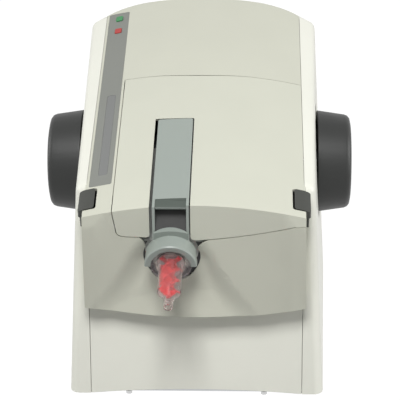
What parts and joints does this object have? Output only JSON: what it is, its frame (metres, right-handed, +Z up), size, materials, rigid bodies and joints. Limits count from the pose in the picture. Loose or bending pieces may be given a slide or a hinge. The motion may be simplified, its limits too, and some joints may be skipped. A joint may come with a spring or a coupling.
{
  "type": "impression material mixer",
  "caption": "Automatic desk-top mixer for dental impression paste with a hinged lid, locking lever, mixing tip, start buttons and handwheels.",
  "frame": {"origin": "middle of the bottom face of the bounding box, at table level", "axes": "+Z up, -Y toward the mixing tip at the front, +X to the right seen from the front"},
  "size_m": [0.3274, 0.424, 0.331],
  "materials": {
    "housing_plastic": "satin",
    "lid_plastic": "satin",
    "panel_plastic": "satin",
    "strip_film": "matte",
    "window_clear": "gloss",
    "green_plastic": "satin",
    "red_plastic": "satin",
    "pointer_plastic": "satin",
    "button_plastic": "satin",
    "lever_plastic": "satin",
    "pad_rubber": "matte",
    "wheel_plastic": "satin",
    "tip_clear": "gloss",
    "rotor_plastic": "gloss",
    "cartridge_plastic": "satin",
    "piston_plastic": "satin",
    "steel": "brushed",
    "sheet_steel": "satin",
    "gear_brass": "satin",
    "gear_acetal": "satin",
    "bearing_bronze": "satin",
    "motor_can": "satin",
    "rubber_black": "matte",
    "black_plastic": "satin",
    "board_green": "gloss",
    "rocker_plastic": "gloss"
  },
  "bodies": {
    "chassis": {"upper_housing": "housing_plastic", "left_side_panel": "panel_plastic", "right_side_panel": "panel_plastic", "front_panel": "panel_plastic", "rear_panel": "panel_plastic", "control_strip": "strip_film", "level_window": "window_clear", "lid_hinge_pin": "steel", "mixing_tip": "tip_clear", "mixer_motor": "motor_can", "mixer_motor_mount": "black_plastic", "cartridge_yoke": "cartridge_plastic", "large_barrel": "cartridge_plastic", "small_barrel": "cartridge_plastic", "lever_pin": "steel", "drive_motor": "motor_can", "bay_frame": "sheet_steel", "bay_front_plate": "sheet_steel", "rack_guides": "black_plastic", "left_frame_plate": "sheet_steel", "right_frame_plate": "sheet_steel", "shaft_bearings": "bearing_bronze", "base_plate": "sheet_steel", "rubber_feet": "rubber_black", "panel_screws": "steel", "left_button_switch": "black_plastic", "right_button_switch": "black_plastic", "key_board": "board_green", "mains_inlet": "black_plastic", "power_switch": "black_plastic", "power_supply": "sheet_steel", "control_board": "board_green"},
    "lid": {"lid": "lid_plastic"},
    "lever": {"locking_lever": "lever_plastic", "finger_pad": "pad_rubber"},
    "wheel_shaft": {"cross_shaft": "steel", "left_handwheel": "wheel_plastic", "right_handwheel": "wheel_plastic", "large_pinion": "gear_brass", "small_pinion": "gear_brass", "drive_gear": "gear_acetal"},
    "plungers": {"large_plunger": "piston_plastic", "small_plunger": "piston_plastic", "crosshead": "sheet_steel", "level_pointer": "pointer_plastic"},
    "motor_shaft": {"motor_pinion": "steel"},
    "mixer": {"mixer_shaft": "steel", "mixing_rotor": "rotor_plastic"},
    "left_button": {"left_start_button": "button_plastic"},
    "right_button": {"right_start_button": "button_plastic"},
    "green_key": {"green_key": "green_plastic"},
    "red_key": {"red_key": "red_plastic"},
    "rocker": {"power_rocker": "rocker_plastic"}
  },
  "joints": [
    {"name": "lid_hinge", "type": "hinge", "parent": "chassis", "child": "lid", "pos_m": [0, 0.06291, 0.28283], "axis": [-1, 0, 0], "range_deg": [0, 75]},
    {"name": "lever_hinge", "type": "hinge", "parent": "chassis", "child": "lever", "pos_m": [0, -0.01317, 0.25802], "axis": [-1, 0, 0], "range_deg": [0, 80]},
    {"name": "handwheel_turn", "type": "hinge", "parent": "chassis", "child": "wheel_shaft", "pos_m": [0, 0.06239, 0.1906], "axis": [1, 0, 0], "range_deg": [0, 248.28]},
    {"name": "plunger_travel", "type": "slide", "parent": "chassis", "child": "plungers", "axis": [0, -0.9578, -0.2874], "range_m": [0, 0.1301]},
    {"name": "motor_pinion_turn", "type": "hinge", "parent": "chassis", "child": "motor_shaft", "pos_m": [0, 0.06239, 0.1366], "axis": [1, 0, 0], "range_deg": [-869.99, 0]},
    {"name": "mixer_spin", "type": "hinge", "parent": "chassis", "child": "mixer", "pos_m": [-0.0225, -0.12956, 0.17269], "axis": [0, -0.9578, -0.2874], "continuous": true},
    {"name": "left_start_press", "type": "slide", "parent": "chassis", "child": "left_button", "axis": [0, 0.2874, -0.9578], "range_m": [0, 0.002], "stiffness_N_per_m": 400, "springref_m": -0.002},
    {"name": "right_start_press", "type": "slide", "parent": "chassis", "child": "right_button", "axis": [0, 0.2874, -0.9578], "range_m": [0, 0.002], "stiffness_N_per_m": 400, "springref_m": -0.002},
    {"name": "green_key_press", "type": "slide", "parent": "chassis", "child": "green_key", "axis": [0, 0.2874, -0.9578], "range_m": [0, 0.0006], "stiffness_N_per_m": 300, "springref_m": -0.002},
    {"name": "red_key_press", "type": "slide", "parent": "chassis", "child": "red_key", "axis": [0, 0.2874, -0.9578], "range_m": [0, 0.0006], "stiffness_N_per_m": 300, "springref_m": -0.002},
    {"name": "power_rocker_tilt", "type": "hinge", "parent": "chassis", "child": "rocker", "pos_m": [-0.028, 0.20545, 0.04], "axis": [1, 0, 0], "range_deg": [0, 8]}
  ],
  "couplings": [
    {"joint": "plunger_travel", "follows": "handwheel_turn", "m_per_rad": 0.03},
    {"joint": "motor_pinion_turn", "follows": "handwheel_turn", "ratio": -3.5}
  ]
}
